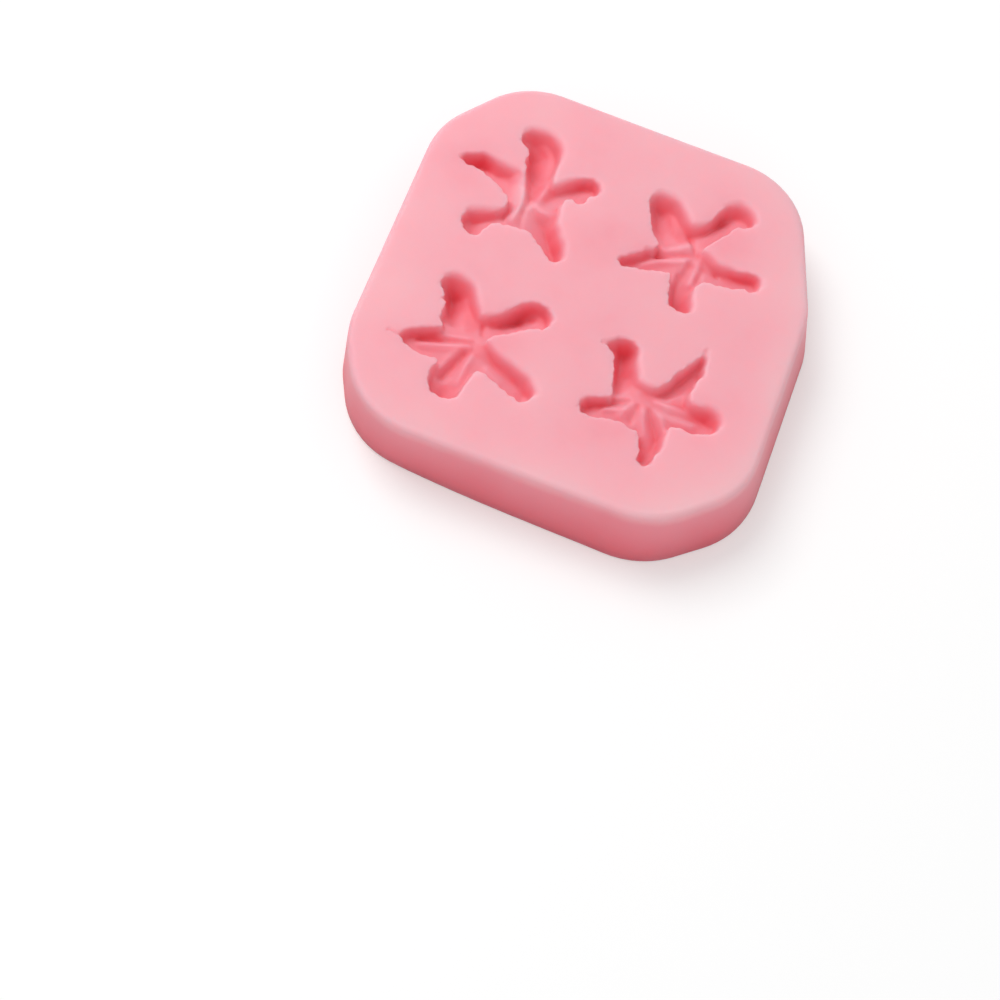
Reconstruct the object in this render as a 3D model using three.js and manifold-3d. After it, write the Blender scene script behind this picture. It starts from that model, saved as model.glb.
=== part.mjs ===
// A soft silicone mould: one poured block with cut corners, and four five-petalled
// flower hollows open at its top face. Millimetres, +Z up, with the origin at the
// middle of the flat underside that rests on the table.
import * as THREE from 'three';
import { mergeVertices } from 'three/addons/utils/BufferGeometryUtils.js';
import Module from 'manifold-3d';

// Driving dimensions of the block
const HEIGHT = 14.3;
const FLOOR = 6.9; // silicone left under the deepest petal
const BORDER = 8.5; // silicone outside the outer petals, at the top edge
const WEB = 5.2; // silicone between neighbouring flowers
const DRAFT = 1.9; // how far the underside stands out past the top edge
const TOP_ROUND = 1.8; // radius of the soft top edge
const BASE_ROUND = 0.5; // radius of the lower edge
const CORNER_ROUND = 15; // radius of the eight blunt points of the outline
const CORNER_CUTS = {
  backRight: { alongX: 9.9, alongY: 25.8 },
  backLeft: { alongX: 11.4, alongY: 15.3 },
  frontLeft: { alongX: 9.4, alongY: 18.5 },
  frontRight: { alongX: 14.2, alongY: 11.9 },
};

// Driving dimensions of the flowers
const PETAL_REACH = 13.2; // flower centre to an average petal tip
const CENTRE_DEPTH = 3.4; // depth where the five petals run together
const UNDERCUT = 0.25; // how far a petal swells out below its mouth
const MOUTH_CLEARANCE = 1.5; // how far a petal's cutter stands above the top face

// How a petal runs from the flower's centre, at 0, to its tip, at 1
const START = -0.1; // a petal starts behind the centre, so that the five run together
const ROOT_AT = 0.3;
const WAIST_AT = 0.6;
const TIP_AT = 0.88;
const START_NARROWING = 0.6; // mouth width at the start, against the root's
const ROUND_END_FROM = 0.8; // from here the mouth closes in a round end
const BLUNT_END = 0.01; // how far past the tip that round would end
const SINK_FROM = 0.05; // the floor sinks from here
const SINK_TO = 0.62; // to its lowest here
const RISE_FROM = 0.72; // and rises again from here
const TIP_RISE = 0.3; // by this share of its depth

// How full a petal's cross-section is
const WALL_CURVE = 2.0; // 2 is an ellipse, more is squarer
const WALL_CURVE_LEAN = 1.1; // squarer on the keel side and slacker on the other, by this
const FLOOR_FULLNESS = 0.6; // less is a flatter floor with steeper walls
const KEEL_LEAN = 0.7; // how far the lowest line moves out on the keel side

// Each flower is placed by how far its centre sits from its quarter of the block.
// A petal points "toward" an angle in degrees from +X. It is "longer" than the average
// reach, its middle is bowed "left" seen from the centre, and its mouth is "root",
// "waist" and "tip" wide on the way out. Its floor is "raised" above the deepest one.
// "keel" says on which side the floor is lowest, from -1 on the right to 1 on the left.
// The "corners", where neighbouring mouths meet, lie as far "from" the centre as given.
const FLOWERS = [
  {
    side: { x: -1, y: 1 },
    shift: { x: -1.6, y: -3.6 },
    petals: [
      { toward: 97, longer: 3.0, left: -0.7, root: 3.4, waist: 6.2, tip: 8.2, keel: 0.6, raised: 0.3 },
      { toward: 159, longer: 1.4, left: -2.0, root: 5.2, waist: 4.6, tip: 2.8, keel: 0.3, raised: 1.9 },
      { toward: 224, longer: -1.3, left: -0.2, root: 3.2, waist: 4.4, tip: 5.0, keel: 0.2, raised: 1.1 },
      { toward: 318, longer: -1.0, left: 0.8, root: 4.8, waist: 5.0, tip: 3.4, keel: 0.3, raised: 1.8 },
      { toward: 38, longer: 0.6, left: 0.5, root: 4.2, waist: 4.8, tip: 4.8, keel: 0.4, raised: 1.5 },
    ],
    corners: [
      { toward: 4, from: 6.3 },
      { toward: 22, from: 6.4 },
      { toward: 63, from: 6.9 },
      { toward: 111, from: 7.3 },
      { toward: 192, from: 3.3 },
      { toward: 245, from: 5.7 },
      { toward: 295, from: 5.2 },
    ],
  },
  {
    side: { x: 1, y: 1 },
    shift: { x: -2.1, y: -1.2 },
    petals: [
      { toward: 132, longer: -0.1, left: 1.6, root: 7.0, waist: 7.4, tip: 6.8, keel: 0.6, raised: 1.1 },
      { toward: 62, longer: 1.4, left: 1.2, root: 4.0, waist: 4.0, tip: 5.8, keel: 0.5, raised: 0.7 },
      { toward: 356, longer: -0.2, left: -1.2, root: 4.6, waist: 4.1, tip: 3.6, keel: 0.4, raised: 2.3 },
      { toward: 274, longer: -1.6, left: -0.6, root: 4.9, waist: 4.6, tip: 4.3, keel: -0.5, raised: 1.7 },
      { toward: 207, longer: 0.2, left: 0.2, root: 4.6, waist: 4.0, tip: 2.4, keel: -0.3, raised: 2.3 },
    ],
    corners: [
      { toward: 52, from: 2.4 },
      { toward: 93, from: 6.9 },
      { toward: 112, from: 6.8 },
      { toward: 180, from: 6.7 },
      { toward: 242, from: 5.7 },
      { toward: 306, from: 5.4 },
    ],
  },
  {
    side: { x: -1, y: -1 },
    shift: { x: 0.4, y: -1.0 },
    petals: [
      { toward: 129, longer: 0.2, left: 1.4, root: 6.6, waist: 7.0, tip: 6.2, keel: 0.5, raised: 0.3 },
      { toward: 47, longer: 0.5, left: 1.4, root: 3.6, waist: 5.4, tip: 5.6, keel: 0.4, raised: 1.1 },
      { toward: 331, longer: 0.2, left: -0.3, root: 4.4, waist: 5.0, tip: 4.6, keel: 0.1, raised: 1.9 },
      { toward: 257, longer: -0.6, left: -0.9, root: 5.4, waist: 6.6, tip: 6.2, keel: -0.3, raised: 2.0 },
      { toward: 196, longer: 0.8, left: 0.5, root: 5.8, waist: 5.8, tip: 3.2, keel: -0.3, raised: 2.4 },
    ],
    corners: [
      { toward: 41, from: 1.1 },
      { toward: 107, from: 5.4 },
      { toward: 175, from: 7.2 },
      { toward: 226, from: 8.3 },
      { toward: 281, from: 5.4 },
      { toward: 295, from: 5.7 },
    ],
  },
  {
    side: { x: 1, y: -1 },
    shift: { x: -1.2, y: 0.0 },
    petals: [
      { toward: 124, longer: -1.4, left: 1.3, root: 5.8, waist: 4.8, tip: 5.2, keel: 0.4, raised: 0.3 },
      { toward: 60, longer: 1.8, left: -1.5, root: 5.0, waist: 4.2, tip: 2.2, keel: 0.5, raised: 0.7 },
      { toward: 0, longer: 0.5, left: -0.4, root: 4.8, waist: 5.4, tip: 5.4, keel: 0.1, raised: 1.7 },
      { toward: 285, longer: -0.7, left: 1.3, root: 5.2, waist: 5.2, tip: 3.0, keel: 0.3, raised: 1.7 },
      { toward: 208, longer: -1.7, left: 0.9, root: 5.2, waist: 4.8, tip: 3.2, keel: -0.4, raised: 2.5 },
    ],
    corners: [
      { toward: 23, from: 7.8 },
      { toward: 75, from: 3.2 },
      { toward: 117, from: 4.0 },
      { toward: 194, from: 5.7 },
      { toward: 250, from: 6.0 },
      { toward: 269, from: 6.3 },
      { toward: 331, from: 6.7 },
    ],
  },
];

// Facets and limits
const TANGENT_SHARE = 0.48; // the most of a side that one blunt point may take up
const CORNER_STEPS = 5;
const EDGE_STEPS = 4;
const SECTION_STEPS = 8;
const PETAL_STATIONS = [START, 0.1, 0.28, 0.46, 0.62, 0.78, 0.91, 1];

// Sizes that follow from the driving ones
const PITCH = 2 * PETAL_REACH + WEB;
const BLOCK_WIDTH = PITCH + 2 * PETAL_REACH + 2 * BORDER;
const DEEPEST = HEIGHT - FLOOR;

const SILICONE_PINK = new THREE.MeshStandardMaterial({ color: '#f7a8b3', roughness: 0.55, metalness: 0 });

const wasm = await Module();
wasm.setup();

// A closed skin through rings of equal length, each given counterclockwise as seen
// from the ring after it. "flatEnds" are the two end rings as plane figures.
function loft(rings, flatEnds) {
  const count = rings[0].length;
  const index = [];
  for (let ring = 0; ring + 1 < rings.length; ring += 1) {
    for (let i = 0; i < count; i += 1) {
      const a = ring * count + i;
      const b = ring * count + ((i + 1) % count);
      index.push(a, b, b + count, a, b + count, a + count);
    }
  }
  const lastRing = (rings.length - 1) * count;
  for (const [a, b, c] of THREE.ShapeUtils.triangulateShape(flatEnds[0], [])) {
    index.push(c, b, a);
  }
  for (const [a, b, c] of THREE.ShapeUtils.triangulateShape(flatEnds[1], [])) {
    index.push(lastRing + a, lastRing + b, lastRing + c);
  }
  const skin = new THREE.BufferGeometry();
  const coordinates = rings.flat().flatMap((p) => p.toArray());
  skin.setAttribute('position', new THREE.Float32BufferAttribute(coordinates, 3));
  skin.setIndex(index);
  return skin;
}

function solidFrom(skin) {
  const merged = mergeVertices(skin);
  return new wasm.Manifold(new wasm.Mesh({
    numProp: 3,
    vertProperties: new Float32Array(merged.attributes.position.array),
    triVerts: new Uint32Array(merged.index.array),
  }));
}

function geometryFrom(solid) {
  const mesh = solid.getMesh();
  const geometry = new THREE.BufferGeometry();
  geometry.setAttribute('position', new THREE.Float32BufferAttribute(mesh.vertProperties, 3));
  geometry.setIndex(Array.from(mesh.triVerts));
  return geometry;
}

// The square outline at the top edge with its four corners cut off, counterclockwise
function cutSquare() {
  const half = BLOCK_WIDTH / 2;
  const { backRight, backLeft, frontLeft, frontRight } = CORNER_CUTS;
  return [
    new THREE.Vector2(half, half - backRight.alongY),
    new THREE.Vector2(half - backRight.alongX, half),
    new THREE.Vector2(-half + backLeft.alongX, half),
    new THREE.Vector2(-half, half - backLeft.alongY),
    new THREE.Vector2(-half, -half + frontLeft.alongY),
    new THREE.Vector2(-half + frontLeft.alongX, -half),
    new THREE.Vector2(half - frontRight.alongX, -half),
    new THREE.Vector2(half, -half + frontRight.alongY),
  ];
}

// The same outline with each point rounded by an arc, as points with their outward normals
function bluntOutline() {
  const points = cutSquare();
  return points.flatMap((point, i) => {
    const before = points.at(i - 1).clone().sub(point);
    const after = points[(i + 1) % points.length].clone().sub(point);
    const halfTurn = (Math.PI - Math.acos(before.clone().normalize().dot(after.clone().normalize()))) / 2;
    const longestTangent = TANGENT_SHARE * Math.min(before.length(), after.length());
    const tangent = Math.min(CORNER_ROUND * Math.tan(halfTurn), longestTangent);
    const radius = tangent / Math.tan(halfTurn);
    const outward = before.normalize().add(after.normalize()).normalize().negate();
    const middle = point.clone().addScaledVector(outward, -radius / Math.cos(halfTurn));
    return Array.from({ length: CORNER_STEPS + 1 }, (_, step) => {
      const turn = halfTurn * ((2 * step) / CORNER_STEPS - 1);
      const normal = outward.clone().rotateAround(new THREE.Vector2(), turn);
      return { point: middle.clone().addScaledVector(normal, radius), normal };
    });
  });
}

// The block: its outline grows down the drafted wall and shrinks round both edges
function blockSolid() {
  const outline = bluntOutline();
  const wallTop = HEIGHT - TOP_ROUND;
  const levels = [];
  for (let step = 0; step <= EDGE_STEPS; step += 1) {
    const turn = (step / EDGE_STEPS) * (Math.PI / 2);
    levels.push({ z: BASE_ROUND * (1 - Math.cos(turn)), grow: DRAFT - BASE_ROUND * (1 - Math.sin(turn)) });
  }
  for (let step = 0; step <= EDGE_STEPS; step += 1) {
    const turn = (step / EDGE_STEPS) * (Math.PI / 2);
    levels.push({ z: wallTop + TOP_ROUND * Math.sin(turn), grow: -TOP_ROUND * (1 - Math.cos(turn)) });
  }
  const figure = (grow) => outline.map(({ point, normal }) => point.clone().addScaledVector(normal, grow));
  const rings = levels.map(({ z, grow }) => figure(grow).map((p) => new THREE.Vector3(p.x, p.y, z)));
  return solidFrom(loft(rings, [figure(levels[0].grow), figure(levels.at(-1).grow)]));
}

// Mouth width at a share of the way out, drawn in to a round end at the tip
function mouthWidth(petal, share) {
  const stops = [
    { at: START, width: START_NARROWING * petal.root },
    { at: ROOT_AT, width: petal.root },
    { at: WAIST_AT, width: petal.waist },
    { at: TIP_AT, width: petal.tip },
    { at: 1, width: petal.tip },
  ];
  const next = Math.max(1, stops.findIndex(({ at }) => at >= share));
  const from = stops[next - 1];
  const to = stops[next];
  const width = THREE.MathUtils.mapLinear(share, from.at, to.at, from.width, to.width);
  const roundEnd = Math.max(0, share - ROUND_END_FROM) / (1 + BLUNT_END - ROUND_END_FROM);
  return width * Math.sqrt(1 - roundEnd * roundEnd);
}

// Depth of the floor at a share of the way out: low at the centre, lowest past the waist
function floorDepth(petal, share) {
  const outer = DEEPEST - petal.raised;
  const sinking = THREE.MathUtils.smoothstep(share, SINK_FROM, SINK_TO);
  const tipRise = TIP_RISE * THREE.MathUtils.smoothstep(share, RISE_FROM, 1);
  return THREE.MathUtils.lerp(CENTRE_DEPTH, outer, sinking) * (1 - tipRise);
}

// One cross-section of a petal: a leaning trough, steep on the keel side, that swells
// under its mouth and is carried up past the top face
function petalSection(petal, share) {
  const halfWidth = mouthWidth(petal, share) / 2;
  const depth = floorDepth(petal, share);
  const swell = Math.min(UNDERCUT, halfWidth / 2);
  const figure = [];
  for (let step = 0; step <= SECTION_STEPS; step += 1) {
    const across = -Math.cos((step / SECTION_STEPS) * Math.PI);
    const curve = WALL_CURVE + WALL_CURVE_LEAN * Math.sign(across) * petal.keel;
    const sunk = Math.pow(1 - Math.pow(Math.abs(across), curve), FLOOR_FULLNESS);
    const leaning = across + KEEL_LEAN * petal.keel * (1 - across * across);
    const swollen = swell * Math.sign(across) * Math.sin(Math.PI * sunk);
    figure.push(new THREE.Vector2(halfWidth * leaning + swollen, -depth * sunk));
  }
  figure.push(new THREE.Vector2(halfWidth, MOUTH_CLEARANCE));
  figure.push(new THREE.Vector2(-halfWidth, MOUTH_CLEARANCE));
  return figure;
}

// A petal: its cross-sections strung along a bowed line from the flower's centre
function petalSkin(petal) {
  const reach = PETAL_REACH + petal.longer;
  const sections = PETAL_STATIONS.map((share) => petalSection(petal, share));
  const rings = PETAL_STATIONS.map((share, i) => {
    const sideways = 4 * petal.left * Math.max(share, 0) * (1 - share);
    return sections[i].map((p) => new THREE.Vector3(reach * share, sideways + p.x, p.y));
  });
  const skin = loft(rings, [sections[0], sections.at(-1)]);
  return skin.rotateZ(THREE.MathUtils.degToRad(petal.toward));
}

// The shallow middle, where the five petals run together between the corners of the mouth
function middleSkin(corners) {
  const figure = corners.map(({ toward, from }) => {
    const angle = THREE.MathUtils.degToRad(toward);
    return new THREE.Vector2(from * Math.cos(angle), from * Math.sin(angle));
  });
  const levels = [-CENTRE_DEPTH, MOUTH_CLEARANCE];
  const rings = levels.map((z) => figure.map((p) => new THREE.Vector3(p.x, p.y, z)));
  return loft(rings, [figure, figure]);
}

function flowerSolid(flower) {
  const x = (flower.side.x * PITCH) / 2 + flower.shift.x;
  const y = (flower.side.y * PITCH) / 2 + flower.shift.y;
  return [middleSkin(flower.corners), ...flower.petals.map(petalSkin)]
    .map((skin) => solidFrom(skin.translate(x, y, HEIGHT)))
    .reduce((joined, hollow) => joined.add(hollow));
}

const mouldSolid = FLOWERS.reduce((block, flower) => block.subtract(flowerSolid(flower)), blockSolid());

const mould = new THREE.Mesh(geometryFrom(mouldSolid), SILICONE_PINK);
mould.name = 'mould_block';

const assembly = new THREE.Group();
assembly.add(mould);

export default assembly;
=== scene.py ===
import math

import bpy
import numpy as np
import openvdb
from mathutils import Matrix, Vector


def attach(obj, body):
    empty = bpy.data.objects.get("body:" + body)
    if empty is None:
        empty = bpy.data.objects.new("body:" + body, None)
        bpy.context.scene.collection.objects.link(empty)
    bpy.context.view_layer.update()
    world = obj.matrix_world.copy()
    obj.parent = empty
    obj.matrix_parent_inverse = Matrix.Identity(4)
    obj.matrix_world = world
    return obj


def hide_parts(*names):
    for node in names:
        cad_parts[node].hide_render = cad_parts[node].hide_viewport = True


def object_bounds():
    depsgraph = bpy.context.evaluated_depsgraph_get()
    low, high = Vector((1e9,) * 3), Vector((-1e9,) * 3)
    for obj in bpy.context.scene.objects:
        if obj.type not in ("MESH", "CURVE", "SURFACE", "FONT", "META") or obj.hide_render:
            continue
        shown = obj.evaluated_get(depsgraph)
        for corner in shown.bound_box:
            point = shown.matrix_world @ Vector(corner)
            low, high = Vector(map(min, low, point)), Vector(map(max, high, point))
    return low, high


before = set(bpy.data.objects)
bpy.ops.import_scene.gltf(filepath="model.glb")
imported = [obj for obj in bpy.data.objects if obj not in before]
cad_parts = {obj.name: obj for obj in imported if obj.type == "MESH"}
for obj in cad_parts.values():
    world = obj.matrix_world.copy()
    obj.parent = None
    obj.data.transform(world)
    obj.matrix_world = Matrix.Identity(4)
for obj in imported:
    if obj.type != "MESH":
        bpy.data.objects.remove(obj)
cad_low, cad_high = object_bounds()

# The block: soft silicone poured round four flower masters in a low square tray. Its corners are
# cut and blunt, its top edge is soft, and its walls lean out to the underside, most on the right.
# It is worked out as a distance field in millimetres, negative inside the silicone.
MM = 0.001
VOXEL = 0.2
MARGIN = 1.0
BLOCK_HEIGHT = (cad_high.z - cad_low.z) / MM
UNDERSIDE_HALF = (cad_high.x - cad_low.x) / 2 / MM
DRAFT = 1.9
RIGHT_DRAFT = 2.7
LEFT_DRAFT = 1.7
FRONT_LEFT_DRAFT = 0.2
TOP_HALF = UNDERSIDE_HALF - DRAFT
FRONT_LEFT_REACH = 1.6 * TOP_HALF
BACK_INSET = 0.3
TOP_ROUND = 1.0
BASE_ROUND = 0.5
TOP_SAG = 0.12
TOP_WAVE = 0.1
TOP_WAVELENGTH = 41.0

# Each cut corner takes one length off the front or back edge of the top, and one off its side edge.
BACK_RIGHT_CUT = (9.1, 25.5)
BACK_LEFT_CUT = (11.6, 15.0)
FRONT_LEFT_CUT = (7.3, 14.6)
FRONT_RIGHT_CUT = (13.4, 11.9)
RIGHT = UNDERSIDE_HALF - RIGHT_DRAFT
LEFT = -UNDERSIDE_HALF + LEFT_DRAFT
FRONT = -TOP_HALF
BACK = TOP_HALF - BACK_INSET
CUT_SQUARE = [
    (RIGHT, BACK - BACK_RIGHT_CUT[1]),
    (RIGHT - BACK_RIGHT_CUT[0], BACK),
    (LEFT + BACK_LEFT_CUT[0], BACK),
    (LEFT, BACK - BACK_LEFT_CUT[1]),
    (LEFT, FRONT + FRONT_LEFT_CUT[1]),
    (LEFT + FRONT_LEFT_CUT[0], FRONT),
    (RIGHT - FRONT_RIGHT_CUT[0], FRONT),
    (RIGHT, FRONT + FRONT_RIGHT_CUT[1]),
]
CORNER_ROUND = 15.0
ARC_STEPS = 10


def blunt_outline(points):
    """The closed outline through the points, each rounded by an arc of CORNER_ROUND."""
    outline = []
    for i, here in enumerate(points):
        here = Vector(here)
        before = (Vector(points[i - 1]) - here).normalized()
        after = (Vector(points[(i + 1) % len(points)]) - here).normalized()
        half_turn = (math.pi - before.angle(after)) / 2
        outward = -(before + after).normalized()
        middle = here - outward * CORNER_ROUND / math.cos(half_turn)
        for step in range(ARC_STEPS + 1):
            turn = half_turn * (2 * step / ARC_STEPS - 1)
            outline.append(middle + Matrix.Rotation(turn, 2) @ outward * CORNER_ROUND)
    return np.array(outline)


def distance_to(outline, x, y):
    """Signed distance from the points x, y to a closed outline, negative inside it."""
    nearest = np.full(x.shape, np.inf)
    inside = np.zeros(x.shape, bool)
    for (ax, ay), (bx, by) in zip(outline, np.roll(outline, -1, axis=0)):
        ex, ey = bx - ax, by - ay
        from_ax, from_ay = x - ax, y - ay
        share = np.clip((from_ax * ex + from_ay * ey) / (ex * ex + ey * ey + 1e-12), 0, 1)
        nearest = np.minimum(nearest, (from_ax - share * ex) ** 2 + (from_ay - share * ey) ** 2)
        if ay != by:
            inside ^= ((ay > y) != (by > y)) & (from_ax < from_ay * ex / ey)
    return np.where(inside, -np.sqrt(nearest), np.sqrt(nearest))


def round_meet(a, b, radius):
    """The larger of two fields, with the edge where they meet rounded to a radius."""
    past_a = np.maximum(a + radius, 0)
    past_b = np.maximum(b + radius, 0)
    return np.minimum(np.maximum(a, b), -radius) + np.sqrt(past_a**2 + past_b**2)


def ripple(x, y, wavelength):
    """Three crossing waves that add up to a gentle unevenness from -1 to 1."""
    k = 2 * math.pi / wavelength
    return (
        np.sin(k * (0.93 * x + 0.37 * y) + 1.3)
        + np.sin(k * (-0.41 * x + 0.88 * y) * 1.31 + 4.1)
        + np.sin(k * (0.72 * x - 0.66 * y) * 0.77 + 2.2)
    ) / 3


def towards(distance, reach, power):
    """A share that grows from 0 at the middle of the block to 1 at a reach from it."""
    return np.clip(distance / reach, 0, 1) ** power


def column(plan):
    """A plan made ready to be set against all the heights in rise."""
    return plan.astype(np.float32)[:, :, None]


span = np.arange(-UNDERSIDE_HALF - MARGIN, UNDERSIDE_HALF + MARGIN, VOXEL)
rise = np.arange(-MARGIN, BLOCK_HEIGHT + MARGIN, VOXEL, dtype=np.float32)
plan_x, plan_y = np.meshgrid(span, span, indexing="ij")
outer = distance_to(blunt_outline(CUT_SQUARE), plan_x, plan_y)
top_level = BLOCK_HEIGHT - TOP_SAG + TOP_WAVE * ripple(plan_x, plan_y, TOP_WAVELENGTH)
draft = (
    DRAFT
    + (RIGHT_DRAFT - DRAFT) * towards(plan_x, TOP_HALF, 2)
    + (LEFT_DRAFT - DRAFT) * towards(-plan_x, TOP_HALF, 2)
    + (FRONT_LEFT_DRAFT - LEFT_DRAFT) * towards(-plan_x - plan_y, FRONT_LEFT_REACH, 4)
)
wall_height = BLOCK_HEIGHT - TOP_ROUND
lean = math.cos(math.atan2(DRAFT, wall_height))
wall = (column(outer) - column(draft) * (1 - rise / wall_height)) * lean
block = round_meet(wall, rise - column(top_level), TOP_ROUND)
block = round_meet(block, -rise, BASE_ROUND)

# The four flower hollows: prints of the five-petalled masters, whose backs lay level with the top.
# Each mouth is the torn-looking star that a master's back left in the top face. Below it every
# petal is a groove that sinks from the flower's middle, steep on one side and sloping on the other.
GROOVE_END = 1.4
GROOVE_FADE = 0.4


def ease(share):
    """A share held between 0 and 1 that leaves both ends gently."""
    share = np.clip(share, 0, 1)
    return share**2 * (3 - 2 * share)


class Groove:
    """A channel along x, y, depth points. Its left and right sides are each a width and the
    share of the depth that is left at the end of that width."""

    def __init__(self, left, right, path):
        self.left_width, self.left_keeps = left
        self.right_width, self.right_keeps = right
        self.path = path

    def depth(self, x, y):
        """The depth of the channel at the points x, y."""
        deepest = np.zeros(x.shape)
        for (ax, ay, a_depth), (bx, by, b_depth) in zip(self.path[:-1], self.path[1:]):
            ex, ey = bx - ax, by - ay
            share = np.clip(((x - ax) * ex + (y - ay) * ey) / (ex**2 + ey**2), 0, 1)
            away = np.hypot(x - ax - share * ex, y - ay - share * ey)
            on_left = (y - ay) * ex - (x - ax) * ey > 0
            across = away / np.where(on_left, self.left_width, self.right_width)
            keeps = np.where(on_left, self.left_keeps, self.right_keeps)
            bowl = 1 - (1 - keeps) * ease(across)
            bowl = bowl * np.clip((GROOVE_END - across) / GROOVE_FADE, 0, 1)
            deepest = np.maximum(deepest, (a_depth + share * (b_depth - a_depth)) * bowl)
        return deepest


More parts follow.
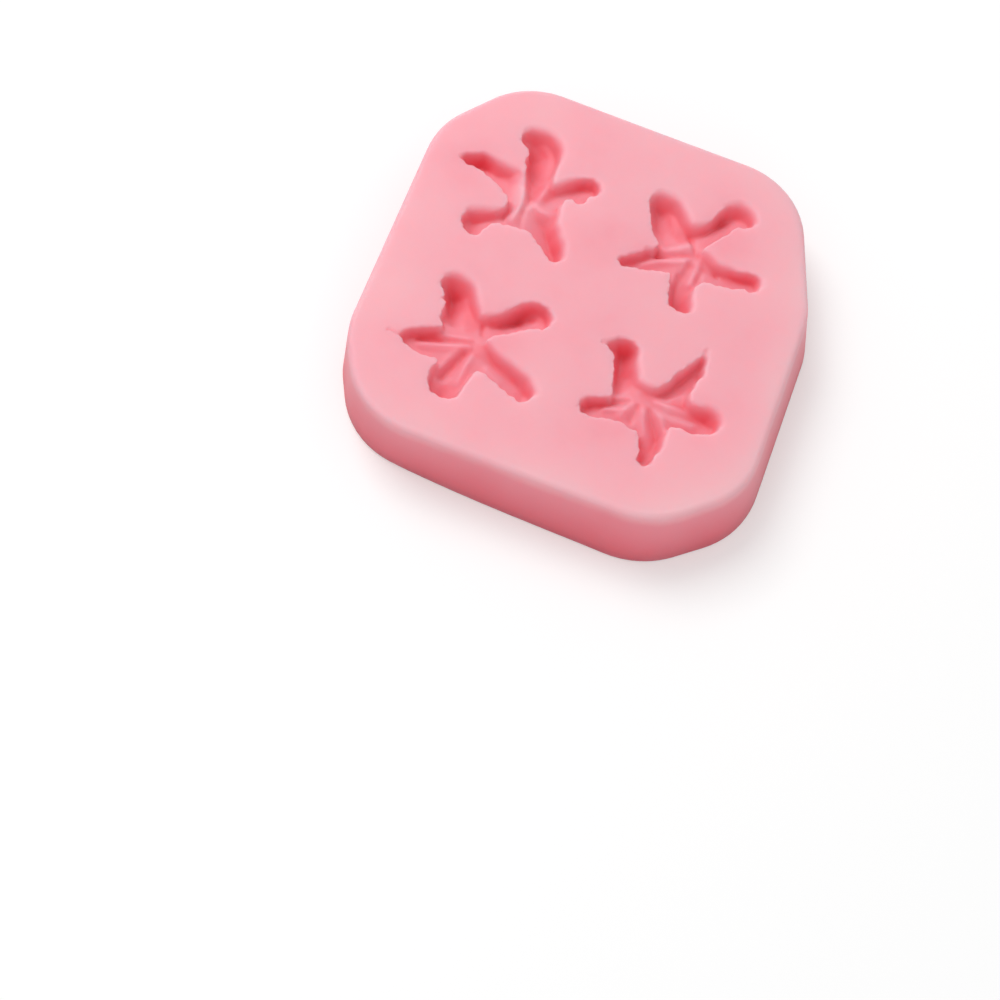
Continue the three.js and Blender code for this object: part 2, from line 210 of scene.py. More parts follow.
# Plans of the flowers, from the middle of the block. Crisp spots, as x, y and reach, are where a far
# lip stays sharp. Ridges stand up from the floor of a hollow, and creases are folded into it.
FLOWERS = [
    {
        "centre": (-17.4, 12.2),
        "crisp": [(-29.5, 19.0, 3.5), (-8.5, 22.0, 3.0)],
        "mouth": [
            (-11.2, 12.6), (-11.5, 14.6), (-11.2, 16.2), (-10.2, 16.8), (-9.2, 16.4), (-8.0, 17.0),
            (-7.3, 18.7), (-6.0, 19.8), (-6.3, 21.5), (-7.8, 22.3), (-10.0, 21.7), (-12.0, 20.3),
            (-14.2, 18.4), (-14.8, 20.5), (-14.7, 23.0), (-14.9, 25.2), (-15.8, 27.0), (-17.5, 28.2),
            (-19.5, 28.4), (-21.5, 28.0), (-22.7, 26.9), (-22.9, 25.6), (-22.1, 24.4), (-20.8, 23.6),
            (-20.4, 22.8), (-20.5, 21.3), (-19.8, 19.6), (-20.2, 18.7), (-22.3, 18.7), (-25.0, 19.1),
            (-27.6, 19.6), (-29.2, 19.0), (-31.2, 17.9), (-31.8, 17.2), (-31.0, 16.6), (-28.6, 16.1),
            (-27.0, 16.0), (-25.0, 15.1), (-23.0, 14.2), (-21.5, 13.2), (-20.7, 12.2), (-20.6, 11.0),
            (-21.2, 9.8), (-22.5, 9.0), (-25.0, 8.2), (-26.6, 7.2), (-27.1, 5.8), (-26.5, 4.3),
            (-25.2, 3.1), (-24.0, 2.8), (-23.2, 3.1), (-22.7, 4.4), (-22.0, 5.8), (-20.8, 6.7),
            (-19.5, 7.1), (-18.0, 7.4), (-15.2, 7.5), (-13.8, 6.7), (-12.3, 5.6), (-10.8, 4.3),
            (-9.6, 3.5), (-8.6, 3.6), (-7.7, 4.4), (-8.0, 5.9), (-8.5, 7.7), (-9.5, 8.6),
            (-10.1, 9.9), (-10.9, 10.9),
        ],
        "grooves": [
            Groove((1.3, 0.6), (4.5, 0.2), [
                (-16.9, 15.3, 2.2), (-18.4, 19.9, 4.2), (-19.8, 24.2, 5.5), (-20.8, 26.8, 3.2),
            ]),
            Groove((2, 0.6), (2.6, 0.35), [
                (-20.8, 13.3, 1.6), (-22.6, 16.2, 2.2), (-25.3, 18, 3), (-28.3, 18.7, 3.9),
                (-30.8, 18, 1.9),
            ]),
            Groove((1.6, 0.6), (2.4, 0.4), [
                (-20.3, 11.2, 2.9), (-21.6, 9.7, 2.4), (-23.6, 7.8, 2.6), (-24.8, 6.3, 3),
                (-24.5, 4.8, 3.1),
            ]),
            Groove((1.3, 0.7), (3.4, 0.6), [
                (-15.4, 11.5, 1.9), (-13, 10.9, 3.2), (-10.8, 8.9, 3.8), (-9.4, 6.9, 3.9),
                (-9.2, 5.1, 3.8),
            ]),
            Groove((2.2, 0.2), (2.2, 0.5), [
                (-16.4, 14.2, 1.2), (-14.2, 15.9, 2.3), (-12.4, 18.6, 2.7), (-9.6, 21.2, 3),
                (-8, 21.6, 2.2),
            ]),
        ],
        "ridges": [
            Groove((3, 0), (0.9, 0), [
                (-17.9, 12.4, 0.6), (-18.4, 14.6, 1.4), (-19.2, 17.2, 2.2), (-20.3, 19.8, 3),
            ]),
            Groove((1.4, 0), (1.2, 0), [(-15.8, 14, 0.6), (-15.3, 17.2, 0.8), (-15, 19.2, 0.9)]),
            Groove((1.4, 0), (1.4, 0), [(-15, 13.2, 0.5), (-12.6, 13.4, 0.5)]),
            Groove((1.2, 0), (1.2, 0), [(-18.8, 11.4, 0.4), (-18.8, 9.4, 0.6)]),
        ],
        "creases": [
            Groove((0.8, 0), (0.8, 0), [
                (-17.2, 15.3, 0.7), (-17.4, 13.2, 0.7), (-17.5, 11.2, 0.6), (-17, 9, 0.4),
            ]),
            Groove((0.7, 0), (0.7, 0), [(-20.7, 11, 0.8), (-20.3, 9.2, 0.6)]),
        ],
    },
    {
        "centre": (13.7, 14.6),
        "crisp": [(3.0, 10.5, 3.5), (24.0, 15.8, 3.0)],
        "mouth": [
            (16.9, 10.3), (17.6, 10.6), (19.5, 10.8), (22.0, 11.2), (24.0, 11.9), (25.6, 12.0),
            (26.6, 12.8), (26.8, 14.0), (26.2, 15.2), (25.0, 15.7), (23.5, 15.4), (22.0, 15.0),
            (20.0, 15.0), (18.0, 15.1), (16.2, 16.0), (14.9, 16.6), (15.8, 18.2), (17.0, 20.1),
            (18.2, 21.8), (19.2, 23.6), (20.6, 24.0), (21.9, 24.9), (22.1, 26.0), (21.3, 27.3),
            (20.0, 28.3), (18.4, 28.4), (16.7, 27.5), (15.7, 26.2), (15.0, 24.4), (14.3, 22.6),
            (13.2, 21.5), (12.2, 20.9), (11.3, 20.9), (10.4, 21.9), (9.2, 23.4), (7.6, 24.7),
            (5.6, 25.1), (3.8, 24.5), (2.9, 23.2), (3.0, 21.8), (3.6, 20.5), (4.1, 19.6),
            (4.6, 18.2), (5.3, 16.8), (6.2, 15.7), (7.0, 15.0), (7.0, 14.3), (6.6, 13.3),
            (5.3, 12.5), (4.2, 11.4), (2.8, 10.2), (1.5, 9.2), (1.5, 8.4), (2.6, 7.7),
            (4.4, 8.1), (6.5, 8.6), (8.8, 9.3), (10.2, 9.7), (11.0, 9.6), (11.4, 8.0),
            (12.0, 5.8), (12.5, 4.2), (13.1, 3.4), (14.6, 3.1), (16.2, 3.2), (16.8, 3.8),
            (16.5, 5.2), (16.0, 7.0), (15.9, 8.6), (16.3, 9.5),
        ],
        "grooves": [
            Groove((1, 0.7), (3, 0.65), [
                (7.6, 16.6, 2.6), (6, 19.4, 4.1), (4.9, 22.4, 4.6), (4.8, 24.4, 4.1),
            ]),
            Groove((2.2, 0.6), (2.2, 0.6), [(10, 18.9, 2.2), (8.4, 23.2, 3.1)]),
            Groove((1.3, 0.6), (2.6, 0.45), [
                (13.4, 17, 1.2), (12.4, 20, 2.6), (14, 22.6, 3.4), (16, 25.4, 4.6), (18.2, 26.8, 2.9),
                (20.6, 26.8, 1.9),
            ]),
            Groove((1.1, 0.7), (3, 0.6), [
                (16, 16.2, 1.1), (19, 15.3, 2.1), (22.5, 15.2, 2.4), (24.8, 14.8, 2.3),
            ]),
            Groove((3, 0.65), (0.8, 0.5), [
                (13.2, 12.9, 1.4), (12.9, 10.8, 2.9), (12.7, 8.3, 3.8), (13.4, 5.5, 4.8),
            ]),
            Groove((0.8, 0.45), (1.5, 0.6), [
                (11.5, 13.8, 1.2), (9, 13.3, 2.2), (7.2, 13.8, 3.8), (5.2, 11.9, 2.9), (3.4, 10.5, 3.4),
                (2.2, 9.8, 2.4),
            ]),
        ],
        "ridges": [
            Groove((1, 0), (1.2, 0), [(12.8, 13.8, 0.6), (8.6, 12.2, 0.8), (5.8, 10.6, 0.5)]),
            Groove((1.1, 0), (1.1, 0), [(15, 14, 0.5), (14.7, 10, 0.9)]),
            Groove((1.4, 0), (1.4, 0), [(9.4, 19.8, 0.4), (8, 22.2, 0.6)]),
            Groove((1.6, 0), (1.6, 0), [(9.6, 15.2, 0.8), (12.6, 17.2, 0.7)]),
        ],
        "creases": [
            Groove((0.8, 0), (0.8, 0), [
                (10.8, 20.5, 0.5), (12.1, 19.2, 0.8), (13.7, 16.8, 0.8), (14.3, 15.8, 0.4),
            ]),
            Groove((0.7, 0), (0.7, 0), [(7.6, 13.2, 0.8), (10.5, 14.4, 0.6), (13.6, 15.4, 0.4)]),
            Groove((0.7, 0), (0.7, 0), [(16.4, 16, 0.4), (17.8, 15.2, 0.6), (18.9, 13.4, 0.6)]),
            Groove((0.6, 0), (0.6, 0), [(16.2, 13.4, 0.4), (16, 11, 0.6)]),
        ],
    },
    {
        "centre": (-15.4, -16.8),
        "crisp": [(-9.0, -5.0, 4.5), (-26.0, -18.0, 4.0)],
        "mouth": [
            (-14.2, -22.1), (-13.0, -22.0), (-11.0, -22.7), (-9.0, -23.5), (-7.0, -24.3), (-5.2, -24.7),
            (-4.1, -23.8), (-3.2, -22.4), (-3.9, -21.1), (-5.3, -19.8), (-7.5, -18.9), (-10.0, -18.2),
            (-12.0, -17.5), (-13.2, -16.9), (-14.6, -16.1), (-13.6, -14.7), (-11.5, -13.1), (-9.5, -11.5),
            (-7.5, -10.4), (-6.0, -9.9), (-5.3, -8.2), (-5.8, -6.6), (-7.3, -5.5), (-9.2, -5.5),
            (-10.6, -6.1), (-11.8, -7.0), (-12.8, -8.4), (-14.2, -10.1), (-15.8, -11.2), (-17.0, -11.6),
            (-17.8, -10.6), (-19.0, -8.8), (-20.0, -7.1), (-21.6, -6.0), (-23.6, -5.7), (-25.3, -6.5),
            (-25.9, -7.9), (-25.2, -9.3), (-24.2, -10.3), (-24.6, -11.2), (-23.4, -11.7), (-23.7, -13.2),
            (-23.4, -14.9), (-22.6, -15.8), (-22.6, -16.5), (-24.2, -17.2), (-26.0, -18.1), (-27.8, -19.2),
            (-28.9, -20.4), (-30.9, -20.9), (-28.8, -21.0), (-27.0, -22.1), (-25.0, -22.8), (-23.0, -22.8),
            (-21.5, -22.6), (-20.9, -23.0), (-21.4, -24.6), (-21.4, -26.4), (-20.7, -28.0), (-19.8, -28.9),
            (-18.0, -29.2), (-16.3, -29.0), (-15.5, -28.1), (-15.2, -26.2), (-14.8, -24.6), (-14.6, -23.2),
        ],
        "grooves": [
            Groove((1.2, 0.7), (3.4, 0.2), [
                (-21.8, -13.2, 3.6), (-22.7, -10.5, 5.8), (-23.2, -8.1, 6), (-23.4, -6.5, 4.8),
            ]),
            Groove((1.2, 0.6), (3, 0.5), [
                (-15.2, -12.7, 1.9), (-13.4, -10.1, 3.9), (-11.6, -7.9, 5.6), (-9.8, -7.2, 4.2),
                (-7.4, -6.7, 2.3),
            ]),
            Groove((1.5, 0.65), (2.2, 0.6), [
                (-14, -17.2, 1.2), (-11.5, -18.4, 2.4), (-8, -19.8, 2.7), (-5.2, -21.6, 3),
                (-5.4, -23, 3.1),
            ]),
            Groove((1.5, 0.5), (1.5, 0.5), [
                (-16.3, -18.2, 1.6), (-17.3, -19.4, 2.9), (-18.4, -21.8, 3.7), (-19.4, -24.2, 3.8),
            ]),
            Groove((2.8, 0.7), (2.8, 0.7), [(-16.4, -21.2, 1.9), (-17.6, -25, 2.6), (-18.2, -27.6, 4)]),
            Groove((0.8, 0.5), (1.6, 0.6), [
                (-17.2, -17.2, 1.4), (-21, -17.5, 2.2), (-24.5, -18, 2.5), (-27.2, -18.6, 2.5),
            ]),
        ],
        "ridges": [
            Groove((1.3, 0), (1.4, 0), [(-17.4, -17.8, 0.6), (-21, -18.9, 0.8), (-25, -20, 0.6)]),
            Groove((1.1, 0), (1.1, 0), [(-16.1, -19.3, 0.6), (-16.6, -24.6, 0.6)]),
            Groove((1, 0), (1, 0), [(-18.8, -19.4, 0.4), (-20.7, -24, 0.5)]),
            Groove((1.2, 0), (1.2, 0), [(-12.6, -20.6, 0.5), (-10, -21.8, 0.5)]),
            Groove((1.2, 0), (1, 0), [(-17.6, -16.2, 0.4), (-23, -17, 0.5)]),
        ],
        "creases": [
            Groove((0.7, 0), (0.7, 0), [(-17.4, -10.4, 0.6), (-16.2, -12.3, 0.9), (-15.6, -14.5, 0.6)]),
            Groove((0.7, 0), (0.7, 0), [(-16.6, -16.7, 0.4), (-21, -17.8, 0.7), (-25.6, -19, 0.9)]),
        ],
    },
    {
        "centre": (14.6, -15.8),
        "crisp": [(19.2, -7.0, 6.0), (8.5, -5.5, 3.0), (6.5, -18.5, 3.0)],
        "mouth": [
            (20.6, -18.9), (22.0, -18.4), (23.6, -18.8), (25.2, -18.3), (26.8, -17.8), (28.1, -16.6),
            (28.4, -15.1), (27.8, -13.7), (26.6, -13.0), (25.0, -13.0), (23.6, -13.3), (21.9, -13.0),
            (21.6, -11.6), (22.0, -10.2), (21.9, -9.0), (22.8, -7.5), (22.4, -6.0), (22.5, -4.6),
            (21.8, -2.3), (21.2, -3.6), (20.3, -5.3), (19.0, -7.4), (17.9, -9.1), (17.8, -10.1),
            (16.8, -11.6), (15.7, -13.0), (13.6, -12.9), (12.3, -12.3), (11.9, -11.0), (11.2, -9.6),
            (10.9, -7.9), (10.3, -6.5), (8.8, -5.8), (7.0, -6.1), (5.8, -7.0), (4.9, -7.9),
            (4.2, -8.2), (5.2, -8.5), (6.2, -9.0), (6.9, -9.8), (7.4, -11.2), (8.0, -13.0),
            (8.5, -15.0), (9.1, -16.6), (8.8, -17.6), (7.6, -18.2), (6.2, -18.8), (5.2, -19.3),
            (4.6, -19.9), (4.4, -20.8), (5.0, -22.1), (6.0, -22.5), (8.0, -22.2), (10.5, -21.7),
            (12.6, -21.4), (13.6, -21.9), (15.5, -22.3), (16.1, -23.8), (16.8, -25.2), (16.7, -26.6),
            (17.3, -27.6), (18.2, -27.8), (19.3, -26.9), (19.6, -25.4), (20.2, -23.6), (20.0, -21.0),
            (20.1, -19.8),
        ],
        "grooves": [
            Groove((1.1, 0.7), (3, 0.4), [
                (9.2, -14.2, 3.3), (8.8, -10.5, 5.5), (8.2, -7.8, 5.2), (7.4, -6.5, 4),
            ]),
            Groove((1.1, 0.85), (2.1, 0.8), [
                (15, -13.2, 1.9), (17.1, -11.1, 3.5), (18.8, -9.1, 3.8), (20.2, -6.5, 3.4),
                (21.5, -3.4, 1.8),
            ]),
            Groove((1.2, 0.4), (1.2, 0.4), [(20.4, -11.7, 1.9), (21.2, -8.7, 2.6)]),
            Groove((1, 0.3), (1, 0.3), [
                (16.6, -14.4, 1.1), (18.6, -14, 1.9), (20.8, -13.6, 2.1), (22.8, -13.2, 2.2),
            ]),
            Groove((2.4, 0.6), (2.4, 0.6), [(23.4, -14.2, 2.2), (25.8, -13.6, 3.6), (27, -14.2, 3.4)]),
            Groove((1.4, 0.65), (1.8, 0.6), [
                (15.8, -17, 1.4), (17.2, -18.8, 2.6), (18.8, -20.8, 3.2), (19, -22.6, 3.2),
                (18, -25.2, 3.9),
            ]),
            Groove((1.7, 0.6), (1.7, 0.6), [(15.6, -20.4, 1.9), (17.2, -23.6, 3.4)]),
            Groove((0.8, 0.5), (1.2, 0.65), [
                (12.6, -16.4, 1.2), (10.2, -17.4, 2.4), (7.9, -18.4, 3.6),
            ]),
            Groove((1.8, 0.65), (1.8, 0.65), [(7.8, -19.4, 2.2), (5.6, -20.2, 3)]),
        ],
        "ridges": [
            Groove((1.5, 0), (1.5, 0), [(17, -14.8, 0.5), (19.4, -14.8, 1), (22.4, -14.6, 0.6)]),
            Groove((1.8, 0), (1.8, 0), [(17.6, -16.8, 0.5), (23.6, -16.6, 1)]),
            Groove((1.1, 0), (1.1, 0), [(15.2, -17.4, 0.5), (16.5, -21.6, 0.6)]),
            Groove((1, 0), (1, 0), [(12.6, -16.9, 0.5), (11.6, -19.6, 0.6)]),
            Groove((0.9, 0), (0.9, 0), [(18.4, -17.4, 0.4), (19.8, -19.2, 0.5)]),
            Groove((0.9, 0), (0.9, 0), [(12, -18.3, 0.4), (8.6, -19.3, 0.6)]),
        ],
        "creases": [
            Groove((0.7, 0), (0.7, 0), [(16.4, -15.4, 0.4), (20, -16, 0.3), (23.4, -15.4, 0.3)]),
            Groove((0.7, 0), (0.7, 0), [(16.2, -16.8, 0.5), (18, -19.2, 0.7), (19.2, -21.2, 0.6)]),
            Groove((0.7, 0), (0.7, 0), [(14, -16.9, 0.6), (13.6, -19.9, 0.7)]),
            Groove((0.7, 0), (0.7, 0), [(12, -16.3, 0.5), (9, -17.4, 0.8), (7.6, -18.6, 0.8)]),
        ],
    },
]

CURVE_STEPS = 4
FAR_AWAY = 99.0
MOUTH_MARGIN = 3.0
SHELF_REACH = (1.0, 3.0, 6.0, 10.0)
SHELF_DEPTH = (1.3, 1.7, 2.2, 2.6)
BLEND_POWER = 6


def through(points):
    """A smooth closed curve through the points."""
    p = np.array(points)
    before, after, beyond = np.roll(p, 1, axis=0), np.roll(p, -1, axis=0), np.roll(p, -2, axis=0)
    curve = []
    for s in np.arange(CURVE_STEPS) / CURVE_STEPS:
        curve.append(
            0.5 * (2 * p + (after - before) * s)
            + 0.5 * (2 * before - 5 * p + 4 * after - beyond) * s**2
            + 0.5 * (3 * p - before - 3 * after + beyond) * s**3
        )
    return np.stack(curve, axis=1).reshape(-1, 2)


def soften(plan, passes):
    """The plan with its creases worn soft by averaging each point with its neighbours."""
    for _ in range(passes):
        for axis in (0, 1):
            plan = (np.roll(plan, 1, axis) + 2 * plan + np.roll(plan, -1, axis)) / 4
    return plan


mouth = np.full(plan_x.shape, FAR_AWAY)
sunk = np.zeros(plan_x.shape)
for flower in FLOWERS:
    star = through(flower["mouth"])
    low_x, low_y = star.min(axis=0) - MOUTH_MARGIN
    high_x, high_y = star.max(axis=0) + MOUTH_MARGIN
    near = (plan_x > low_x) & (plan_x < high_x) & (plan_y > low_y) & (plan_y < high_y)
    x, y = plan_x[near], plan_y[near]
    mouth[near] = distance_to(star, x, y)
    centre_x, centre_y = flower["centre"]
    shelf = np.interp(np.hypot(x - centre_x, y - centre_y), SHELF_REACH, SHELF_DEPTH)
    depths = np.array([groove.depth(x, y) for groove in flower["grooves"]] + [shelf])
    raised = sum(ridge.depth(x, y) for ridge in flower["ridges"])
    creased = sum(crease.depth(x, y) for crease in flower["creases"])
    sunk[near] = np.sum(depths**BLEND_POWER, axis=0) ** (1 / BLEND_POWER) - raised + creased

# The lips of the hollows, where the soft silicone let go of the masters. The far lips are rolled
# over and their walls slope, and the other lips are torn and steep over a slight undercut.
FAR_WAY = (0.35, 0.94)
FAR_FROM, FAR_TO = -0.1, 0.8
WEAR_PASSES = 4
CRISPNESS = 0.7
NICK_SIZE, NICK_WAVELENGTH = 0.2, 1.5
WAVER_SIZE, WAVER_WAVELENGTH = 0.1, 2.9
SMOOTH_PASSES = 14
LIP_DROP = 0.4
SOFT_SLOPE, CRISP_SLOPE = 2.0, 7.0
SOFT_LIP, CRISP_LIP = 1.2, 0.25
FLOOR_WAVE, FLOOR_WAVELENGTH = 0.05, 3.1
FLOOR_ROUND = 0.5
TORN_DEPTH, TORN_FADE = 1.12, 0.8
UNDERCUT, UNDERCUT_DEPTH = 0.25, 6.0
FLAT_MERGE = 0.02

slope_x, slope_y = np.gradient(soften(mouth, WEAR_PASSES), VOXEL)
facing = FAR_WAY[0] * slope_x + FAR_WAY[1] * slope_y
far = soften(ease((facing - FAR_FROM) / (FAR_TO - FAR_FROM)), WEAR_PASSES)
soft = far
for flower in FLOWERS:
    for spot_x, spot_y, reach in flower["crisp"]:
        away = np.hypot(plan_x - spot_x, plan_y - spot_y)
        soft = soft * (1 - CRISPNESS * np.exp(-((away / reach) ** 4)))
nicks = NICK_SIZE * ripple(plan_x, plan_y, NICK_WAVELENGTH)
waver = WAVER_SIZE * ripple(plan_x, plan_y, WAVER_WAVELENGTH)
mouth = mouth + (1 - soft) * nicks + waver
smooth_mouth = soften(mouth, SMOOTH_PASSES)

wall_slope = CRISP_SLOPE + soft * (SOFT_SLOPE - CRISP_SLOPE)
sunk = np.minimum(sunk, LIP_DROP + np.maximum(-smooth_mouth, 0) * wall_slope)
sunk = soften(sunk, WEAR_PASSES) + FLOOR_WAVE * ripple(plan_x, plan_y, FLOOR_WAVELENGTH)
steepness = np.sqrt(1 + sum(grade**2 for grade in np.gradient(sunk, VOXEL)))
above_floor = (column(top_level - sunk) - rise) / column(steepness)

down = BLOCK_HEIGHT - rise
torn = np.clip((TORN_DEPTH - down) / TORN_FADE, 0, 1)
undercut = UNDERCUT * np.sin(np.pi * np.clip(down / UNDERCUT_DEPTH, 0, 1))
hollow_walls = column(smooth_mouth) + column(mouth - smooth_mouth) * torn - undercut
hollows = round_meet(hollow_walls, above_floor, FLOOR_ROUND)
lip = CRISP_LIP + soft * (SOFT_LIP - CRISP_LIP)
silicone = round_meet(block, -hollows, column(lip)).astype(np.float32)

grid = openvdb.FloatGrid(background=1.0)
grid.copyFromArray(silicone)
points, triangles, quads = grid.convertToPolygons(isovalue=0.0, adaptivity=FLAT_MERGE)
points = points * VOXEL + np.array([span[0], span[0], rise[0]])
faces = quads[:, ::-1].tolist() + triangles[:, ::-1].tolist()
skin = bpy.data.meshes.new("poured_block")
skin.from_pydata((points * MM).tolist(), [], faces)
skin.validate()
skin.shade_smooth()
poured_block = bpy.data.objects.new("poured_block", skin)
bpy.context.collection.objects.link(poured_block)

# Pink silicone rubber: satin, and see-through by a few millimetres. Light is painted into its
# colour: a painted sheen makes it palest along the rim, and painted shade makes it deeper around the
# hollows, down inside them and down the walls. Its tone, with this painted light in it, runs from 0,
# the painted sheen of the rim, to 1, the deep rose of painted shade.
# The ramp runs from the painted sheen of the rim to the painted shade deep in the hollows.
PALE_SHEEN = (0.93, 0.53, 0.57, 1)
PINK_TOP = (0.96, 0.43, 0.49, 1)
BLUSH = (0.92, 0.31, 0.37, 1)
SHADED_ROSE = (0.90, 0.14, 0.18, 1)
PINK_AT = 0.30
BLUSH_AT = 0.48
TOP_TONE = 0.26
# Painted shade deepens the top around each flower.
AROUND_HOLLOWS_SHADE, AROUND_HOLLOWS_REACH = 0.06, 15.0
LIP_BLEND = 0.8
# Painted shade: the colour turns deep rose with depth in the hollows, soonest on their far sides.
IN_HOLLOWS_SHADE = 0.70
SHADE_DEPTH, FAR_SHADE_DEPTH = 4.5, 2.4
SHADE_POWER = 1.5
# Painted shade just below the far lips of the hollows.
FAR_LIP_SHADE, FAR_LIP_INSET, FAR_LIP_WIDTH, FAR_LIP_DROP = 0.14, 0.3, 0.8, 0.4
# Painted shade down the outer walls, darker towards the bottom.
WALL_SHADE, WALL_SHADE_PER_MM = 0.12, 0.043
WALL_FROM, WALL_TO = 0.4, 3.0
# Painted sheen: the top is paler along the rim, most towards the right and front.
RIM_SHEEN, SHEEN_TO_RIGHT, SHEEN_TO_FRONT = 0.10, 0.09, 0.054
RIM_WIDTH, RIM_DEPTH = 4.6, 1.8
PATCH_TONE, PATCH_SIZE = 0.07, 23.0
CLOUD_TONE = 0.09
SEE_THROUGH = (0.0075, 0.0022, 0.0024)


def sample(plan, x, y):
    """Values of a plan at the points x, y, blended between its nearest cells."""
    i, j = (x - span[0]) / VOXEL, (y - span[0]) / VOXEL
    i0, j0 = i.astype(int), j.astype(int)
    fi, fj = i - i0, j - j0
    near_row = plan[i0, j0] * (1 - fj) + plan[i0, j0 + 1] * fj
    far_row = plan[i0 + 1, j0] * (1 - fj) + plan[i0 + 1, j0 + 1] * fj
    return near_row * (1 - fi) + far_row * fi


def close_to(distance, reach):
    """A share that is 1 at no distance and dies away softly past the reach."""
    return np.exp(-((distance / reach) ** 2))


px, py, pz = points.T
under = np.clip(BLOCK_HEIGHT - pz, 0, None)
from_mouth = sample(mouth, px, py)
from_rim = np.maximum(-sample(outer, px, py), 0)
far_side = sample(far, px, py) ** 2

# Painted shade down inside the hollows, deepening with depth and soonest on the far sides.
within = np.clip(0.5 - from_mouth / LIP_BLEND, 0, 1)
shade_depth = SHADE_DEPTH + far_side * (FAR_SHADE_DEPTH - SHADE_DEPTH)
shade_in_hollows = within * (1 - np.exp(-((under / shade_depth) ** SHADE_POWER)))
# Painted shade in a band just below the far lips.
far_lip_shade = far_side * close_to(from_mouth + FAR_LIP_INSET, FAR_LIP_WIDTH)
far_lip_shade = far_lip_shade * np.clip(under / FAR_LIP_DROP, 0, 1)
# Painted shade on the outer walls, growing towards the bottom.
shade_down_wall = (1 - within) * np.clip((under - WALL_FROM) / (WALL_TO - WALL_FROM), 0, 1)
# Painted shade around each flower's middle, kept off the walls.
shade_around_hollows = np.zeros(px.shape)
for flower in FLOWERS:
    centre_x, centre_y = flower["centre"]
    shade_around_hollows += close_to(np.hypot(px - centre_x, py - centre_y), AROUND_HOLLOWS_REACH)
# Painted sheen along the rim of the top, stronger to the right and front.
rim_sheen = RIM_SHEEN + (SHEEN_TO_RIGHT * px - SHEEN_TO_FRONT * py) / TOP_HALF
rim_sheen = rim_sheen * close_to(from_rim, RIM_WIDTH) * np.clip(1 - under / RIM_DEPTH, 0, 1)
# Painted sheen and painted shade, with the patches as the silicone's own uneven colour.
painted_light_and_tone = (
    TOP_TONE
    + AROUND_HOLLOWS_SHADE * shade_around_hollows * (1 - shade_down_wall)
    + IN_HOLLOWS_SHADE * shade_in_hollows
    + FAR_LIP_SHADE * far_lip_shade
    + (WALL_SHADE + WALL_SHADE_PER_MM * under) * shade_down_wall
    + PATCH_TONE * ripple(px, py, PATCH_SIZE)
    - rim_sheen
)
skin.attributes.new("painted_light_and_tone", "FLOAT", "POINT").data.foreach_set("value", painted_light_and_tone.astype(np.float32))

pink_silicone = bpy.data.materials.new("pink_silicone")
pink_silicone.use_nodes = True
nodes, links = pink_silicone.node_tree.nodes, pink_silicone.node_tree.links
rubber = nodes["Principled BSDF"]
rubber.inputs["Roughness"].default_value = 0.45
rubber.inputs["IOR"].default_value = 1.41
rubber.inputs["Specular IOR Level"].default_value = 0.25
rubber.inputs["Subsurface Weight"].default_value = 0.7
rubber.inputs["Subsurface Radius"].default_value = SEE_THROUGH
rubber.inputs["Subsurface Scale"].default_value = 1.0
painted = nodes.new("ShaderNodeAttribute")
painted.attribute_name = "painted_light_and_tone"
place = nodes.new("ShaderNodeTexCoord")
clouds = nodes.new("ShaderNodeTexNoise")
clouds.inputs["Scale"].default_value = 110
clouds.inputs["Detail"].default_value = 4
links.new(place.outputs["Object"], clouds.inputs["Vector"])
cloudy = nodes.new("ShaderNodeMapRange")
cloudy.inputs["To Min"].default_value = -CLOUD_TONE
cloudy.inputs["To Max"].default_value = CLOUD_TONE
links.new(clouds.outputs["Fac"], cloudy.inputs["Value"])
mottled = nodes.new("ShaderNodeMath")
links.new(painted.outputs["Fac"], mottled.inputs[0])
links.new(cloudy.outputs["Result"], mottled.inputs[1])
tones = nodes.new("ShaderNodeValToRGB")
ramp = tones.color_ramp
ramp.elements[0].color = PALE_SHEEN
ramp.elements[1].color = SHADED_ROSE
ramp.elements.new(PINK_AT).color = PINK_TOP
ramp.elements.new(BLUSH_AT).color = BLUSH
links.new(mottled.outputs["Value"], tones.inputs["Fac"])
links.new(tones.outputs["Color"], rubber.inputs["Base Color"])
skin.materials.append(pink_silicone)
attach(poured_block, "root")
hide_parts("mould_block")

# The table: a plain white sheet that the block lies on. It glows where it is seen, and more so
# further out, so that it fades into the white background and still keeps the soft shadow.
SHEET_HALF = 2.0
SHEET_GREY = (0.7, 0.7, 0.7, 1)
WHITE = (1, 1, 1, 1)
GLOW_NEAR, GLOW_FAR = 0.34, 0.63
FADE_FROM, FADE_TO = 0.15, 0.9


def background_rays(tree):
    """A socket that is 1 for rays that show the background, and 0 for rays that light the block."""
    path = tree.nodes.new("ShaderNodeLightPath")
    shown = path.outputs["Is Camera Ray"]
    for ray in ("Is Glossy Ray", "Is Transmission Ray"):
        either = tree.nodes.new("ShaderNodeMath")
        either.operation = "MAXIMUM"
        tree.links.new(shown, either.inputs[0])
        tree.links.new(path.outputs[ray], either.inputs[1])
        shown = either.outputs[0]
    return shown


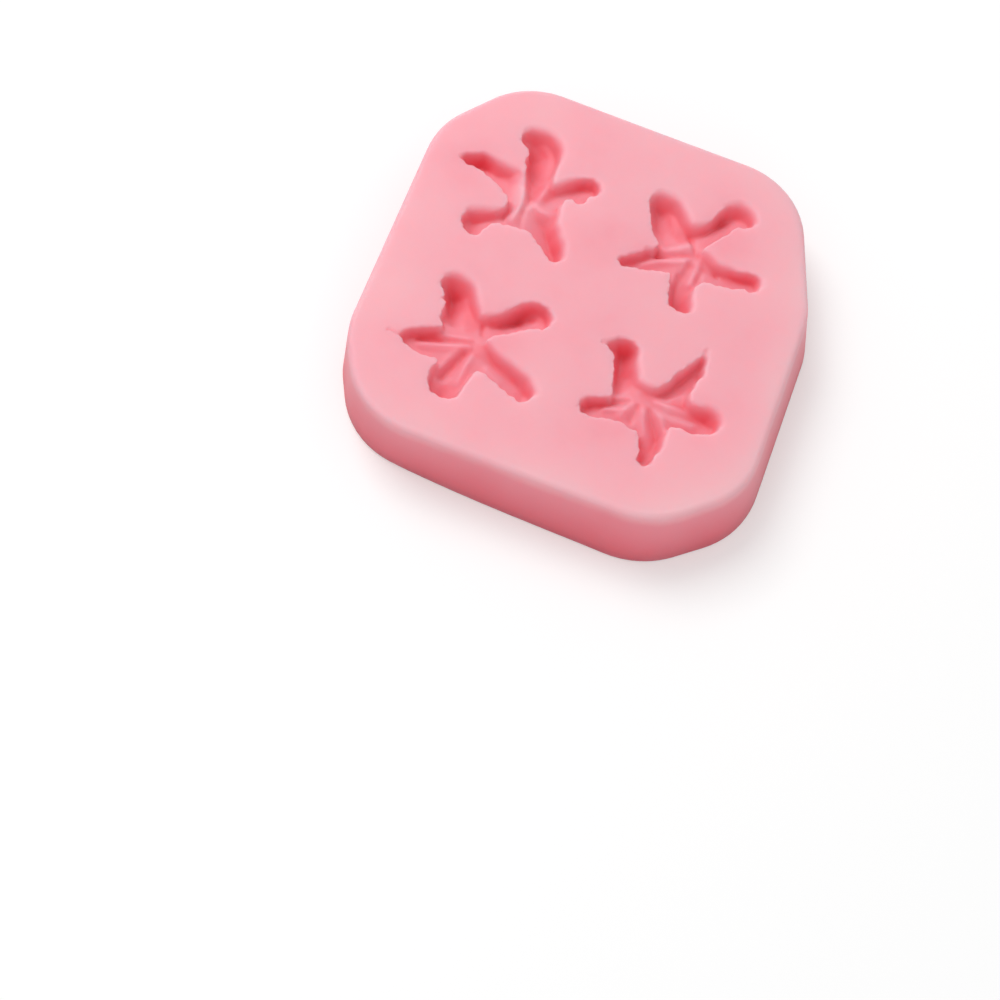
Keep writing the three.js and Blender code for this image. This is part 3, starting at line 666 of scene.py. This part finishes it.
sheet = bpy.data.meshes.new("table_sheet")
sheet_corners = [(x * SHEET_HALF, y * SHEET_HALF, 0) for x, y in ((-1, -1), (1, -1), (1, 1), (-1, 1))]
sheet.from_pydata(sheet_corners, [], [(0, 1, 2, 3)])
table_sheet = bpy.data.objects.new("table_sheet", sheet)
bpy.context.collection.objects.link(table_sheet)
white_sheet = bpy.data.materials.new("white_sheet")
white_sheet.use_nodes = True
nodes, links = white_sheet.node_tree.nodes, white_sheet.node_tree.links
paper = nodes["Principled BSDF"]
paper.inputs["Base Color"].default_value = SHEET_GREY
paper.inputs["Roughness"].default_value = 0.9
paper.inputs["Specular IOR Level"].default_value = 0.0
paper.inputs["Emission Color"].default_value = WHITE
spot = nodes.new("ShaderNodeTexCoord")
from_block = nodes.new("ShaderNodeVectorMath")
from_block.operation = "LENGTH"
fade = nodes.new("ShaderNodeMapRange")
fade.inputs["From Min"].default_value = FADE_FROM
fade.inputs["From Max"].default_value = FADE_TO
fade.inputs["To Min"].default_value = GLOW_NEAR
fade.inputs["To Max"].default_value = GLOW_FAR
glow = nodes.new("ShaderNodeMath")
glow.operation = "MULTIPLY"
links.new(spot.outputs["Object"], from_block.inputs[0])
links.new(from_block.outputs["Value"], fade.inputs["Value"])
links.new(background_rays(white_sheet.node_tree), glow.inputs[0])
links.new(fade.outputs["Result"], glow.inputs[1])
links.new(glow.outputs[0], paper.inputs["Emission Strength"])
sheet.materials.append(white_sheet)

# The light: a broad soft lamp high at the back left, a weaker one low at the front, and a pale
# room all round that is dimmer as a light than it looks.
ROOM_LIGHTS, ROOM_SHOWS = 0.53, 1.0
LAMP_SIZE, LAMP_POWER, LAMP_PLACE = 0.48, 4.35, (-0.43, 0.26, 0.74)
FILL_SIZE, FILL_POWER, FILL_PLACE = 0.5, 0.75, (0.22, -0.57, 0.13)


def soft_light(name, size, power, place):
    """A square lamp at a place, turned to the middle of the block."""
    light = bpy.data.lights.new(name, "AREA")
    light.size = size
    light.energy = power
    lamp = bpy.data.objects.new(name, light)
    lamp.location = place
    lamp.rotation_euler = (-lamp.location).to_track_quat("-Z", "Y").to_euler()
    bpy.context.collection.objects.link(lamp)


soft_light("soft_lamp", LAMP_SIZE, LAMP_POWER, LAMP_PLACE)
soft_light("front_fill", FILL_SIZE, FILL_POWER, FILL_PLACE)
pale_room = bpy.data.worlds.new("pale_room")
bpy.context.scene.world = pale_room
pale_room.use_nodes = True
room = pale_room.node_tree.nodes["Background"]
room.inputs["Color"].default_value = WHITE
brightness = pale_room.node_tree.nodes.new("ShaderNodeMapRange")
brightness.inputs["To Min"].default_value = ROOM_LIGHTS
brightness.inputs["To Max"].default_value = ROOM_SHOWS
pale_room.node_tree.links.new(background_rays(pale_room.node_tree), brightness.inputs["Value"])
pale_room.node_tree.links.new(brightness.outputs["Result"], room.inputs["Strength"])

# The camera: a long lens about 0.4 m away that looks down at the front of the block, rolled on its
# axis as the photograph was. The pan and tilt set the block off the middle of the picture.
AZIMUTH, ELEVATION, ROLL = (math.radians(angle) for angle in (3.38, 60.70, 17.69))
PAN, TILT = (math.radians(angle) for angle in (-2.12, 4.29))
DISTANCE = 0.4043
FOCAL_PIXELS = 2225
PICTURE_PIXELS = 1000
SENSOR_WIDTH = 36
back = Vector((
    math.sin(AZIMUTH) * math.cos(ELEVATION),
    -math.cos(AZIMUTH) * math.cos(ELEVATION),
    math.sin(ELEVATION),
))
right = Vector((math.cos(AZIMUTH), math.sin(AZIMUTH), 0))
level = Matrix((right, back.cross(right), back))
rolled = Matrix.Rotation(-ROLL, 3, "Z") @ level
turned = Matrix.Rotation(TILT, 3, "X") @ Matrix.Rotation(PAN, 3, "Y") @ rolled
lens = bpy.data.cameras.new("camera")
lens.sensor_width = SENSOR_WIDTH
lens.lens = SENSOR_WIDTH * FOCAL_PIXELS / PICTURE_PIXELS
lens.clip_start = 0.01
camera = bpy.data.objects.new("camera", lens)
camera.matrix_world = Matrix.LocRotScale(back * DISTANCE, turned.transposed().to_quaternion(), None)
bpy.context.collection.objects.link(camera)
bpy.context.scene.camera = camera
bpy.context.scene.view_settings.view_transform = "Standard"
